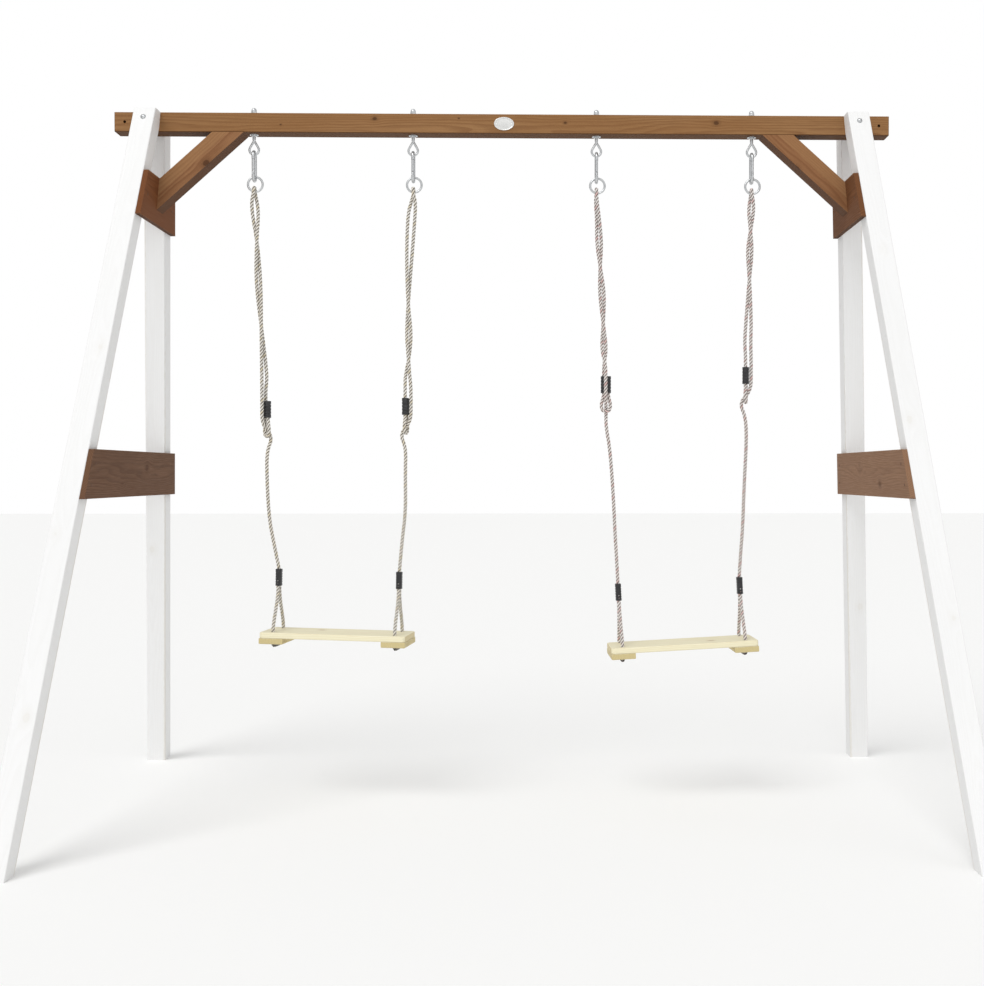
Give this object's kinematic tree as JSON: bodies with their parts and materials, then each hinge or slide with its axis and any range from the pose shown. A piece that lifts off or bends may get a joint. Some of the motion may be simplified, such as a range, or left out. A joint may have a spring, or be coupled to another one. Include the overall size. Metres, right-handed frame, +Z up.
{
  "type": "swing set",
  "caption": "Garden double swing: white A-frame legs, stained timber beam with corner braces, and wooden plank seats hung on twisted ropes from eye bolts, snap hooks and rings.",
  "frame": {"origin": "middle of the footprint on the ground", "axes": "+X along the beam to the right seen from the front, +Y to the rear, +Z up"},
  "size_m": [2.6416, 1.4888, 2.1825],
  "materials": {
    "stained_timber": "brown wood stain, satin",
    "dark_timber": "dark brown wood stain, satin",
    "brace_timber": "brown wood stain, satin",
    "painted_timber": "white paint with faint grain and knots",
    "pale_pine": "bare planed pine, matte",
    "pale_cleat": "bare pine, yellower, matte",
    "badge_silver": "blank white and silver oval",
    "galvanised": "galvanised, light grey",
    "rope": "twisted beige-grey rope with faint tracer yarns",
    "black_plastic": "black, ribbed"
  },
  "bodies": {
    "frame": {"top_beam": "stained_timber", "front_left_leg": "painted_timber", "rear_left_leg": "painted_timber", "front_right_leg": "painted_timber", "rear_right_leg": "painted_timber", "left_cross_plate": "dark_timber", "right_cross_plate": "dark_timber", "left_upper_plate": "dark_timber", "right_upper_plate": "dark_timber", "left_brace": "brace_timber", "right_brace": "brace_timber", "badge_plate": "badge_silver", "leg_bolts": "galvanised", "leg_nuts": "galvanised", "plate_bolts": "galvanised", "brace_screws": "galvanised", "eye_bolt_dome_nuts": "galvanised", "eye_bolt_washers": "galvanised", "left_swing_left_eye_bolt": "galvanised", "left_swing_right_eye_bolt": "galvanised", "right_swing_left_eye_bolt": "galvanised", "right_swing_right_eye_bolt": "galvanised"},
    "left_swing_hooks": {"left_swing_left_snap_hook": "galvanised", "left_swing_right_snap_hook": "galvanised", "left_swing_gate_pins": "galvanised"},
    "left_swing_ropes": {"left_swing_left_ring": "galvanised", "left_swing_left_upper_rope": "rope", "left_swing_right_ring": "galvanised", "left_swing_right_upper_rope": "rope"},
    "left_swing_seat": {"left_swing_left_clamp": "black_plastic", "left_swing_left_seat_rope": "rope", "left_swing_right_clamp": "black_plastic", "left_swing_right_seat_rope": "rope", "left_swing_seat_board": "pale_pine", "left_swing_seat_cleats": "pale_cleat", "left_swing_cleat_screws": "galvanised"},
    "left_swing_left_gate": {"left_swing_left_hook_gate": "galvanised"},
    "left_swing_left_adjuster_block": {"left_swing_left_adjuster": "black_plastic"},
    "left_swing_right_gate": {"left_swing_right_hook_gate": "galvanised"},
    "left_swing_right_adjuster_block": {"left_swing_right_adjuster": "black_plastic"},
    "right_swing_hooks": {"right_swing_left_snap_hook": "galvanised", "right_swing_right_snap_hook": "galvanised", "right_swing_gate_pins": "galvanised"},
    "right_swing_ropes": {"right_swing_left_ring": "galvanised", "right_swing_left_upper_rope": "rope", "right_swing_right_ring": "galvanised", "right_swing_right_upper_rope": "rope"},
    "right_swing_seat": {"right_swing_left_clamp": "black_plastic", "right_swing_left_seat_rope": "rope", "right_swing_right_clamp": "black_plastic", "right_swing_right_seat_rope": "rope", "right_swing_seat_board": "pale_pine", "right_swing_seat_cleats": "pale_cleat", "right_swing_cleat_screws": "galvanised"},
    "right_swing_left_gate": {"right_swing_left_hook_gate": "galvanised"},
    "right_swing_left_adjuster_block": {"right_swing_left_adjuster": "black_plastic"},
    "right_swing_right_gate": {"right_swing_right_hook_gate": "galvanised"},
    "right_swing_right_adjuster_block": {"right_swing_right_adjuster": "black_plastic"}
  },
  "joints": [
    {"name": "left_swing_hang", "type": "hinge", "parent": "frame", "child": "left_swing_hooks", "pos_m": [-0.531, 0, 2.0375], "axis": [1, 0, 0], "range_deg": [-60, 60]},
    {"name": "left_swing_ring_turn", "type": "hinge", "parent": "left_swing_hooks", "child": "left_swing_ropes", "pos_m": [-0.531, 0, 1.9648], "axis": [1, 0, 0], "range_deg": [-25, 25]},
    {"name": "left_swing_seat_tilt", "type": "hinge", "parent": "left_swing_ropes", "child": "left_swing_seat", "pos_m": [-0.51767, -0.0004, 0.74197], "axis": [0.9924, -0.1218, -0.0174], "range_deg": [-25, 25]},
    {"name": "left_swing_left_gate_turn", "type": "hinge", "parent": "left_swing_hooks", "child": "left_swing_left_gate", "pos_m": [-0.778, -0.015, 1.9794], "axis": [-1, 0, 0], "range_deg": [0, 22], "stiffness_Nm_per_rad": 0.05, "springref_deg": -11.46},
    {"name": "left_swing_left_adjuster_slide", "type": "slide", "parent": "left_swing_ropes", "child": "left_swing_left_adjuster_block", "axis": [0, 0, 1], "range_m": [0, 0.015]},
    {"name": "left_swing_right_gate_turn", "type": "hinge", "parent": "left_swing_hooks", "child": "left_swing_right_gate", "pos_m": [-0.284, -0.015, 1.9794], "axis": [-1, 0, 0], "range_deg": [0, 22], "stiffness_Nm_per_rad": 0.05, "springref_deg": -11.46},
    {"name": "left_swing_right_adjuster_slide", "type": "slide", "parent": "left_swing_ropes", "child": "left_swing_right_adjuster_block", "axis": [0, 0, 1], "range_m": [0, 0.015]},
    {"name": "right_swing_hang", "type": "hinge", "parent": "frame", "child": "right_swing_hooks", "pos_m": [0.5315, 0, 2.0375], "axis": [1, 0, 0], "range_deg": [-60, 60]},
    {"name": "right_swing_ring_turn", "type": "hinge", "parent": "right_swing_hooks", "child": "right_swing_ropes", "pos_m": [0.5315, 0, 1.9648], "axis": [1, 0, 0], "range_deg": [-25, 25]},
    {"name": "right_swing_seat_tilt", "type": "hinge", "parent": "right_swing_ropes", "child": "right_swing_seat", "pos_m": [0.54763, -0.00041, 0.70877], "axis": [0.9979, 0.0436, 0.0488], "range_deg": [-25, 25]},
    {"name": "right_swing_left_gate_turn", "type": "hinge", "parent": "right_swing_hooks", "child": "right_swing_left_gate", "pos_m": [0.288, -0.015, 1.9794], "axis": [-1, 0, 0], "range_deg": [0, 22], "stiffness_Nm_per_rad": 0.05, "springref_deg": -11.46},
    {"name": "right_swing_left_adjuster_slide", "type": "slide", "parent": "right_swing_ropes", "child": "right_swing_left_adjuster_block", "axis": [0, 0, 1], "range_m": [0, 0.015]},
    {"name": "right_swing_right_gate_turn", "type": "hinge", "parent": "right_swing_hooks", "child": "right_swing_right_gate", "pos_m": [0.775, -0.015, 1.9794], "axis": [-1, 0, 0], "range_deg": [0, 22], "stiffness_Nm_per_rad": 0.05, "springref_deg": -11.46},
    {"name": "right_swing_right_adjuster_slide", "type": "slide", "parent": "right_swing_ropes", "child": "right_swing_right_adjuster_block", "axis": [0, 0, 1], "range_m": [0, 0.015]}
  ]
}
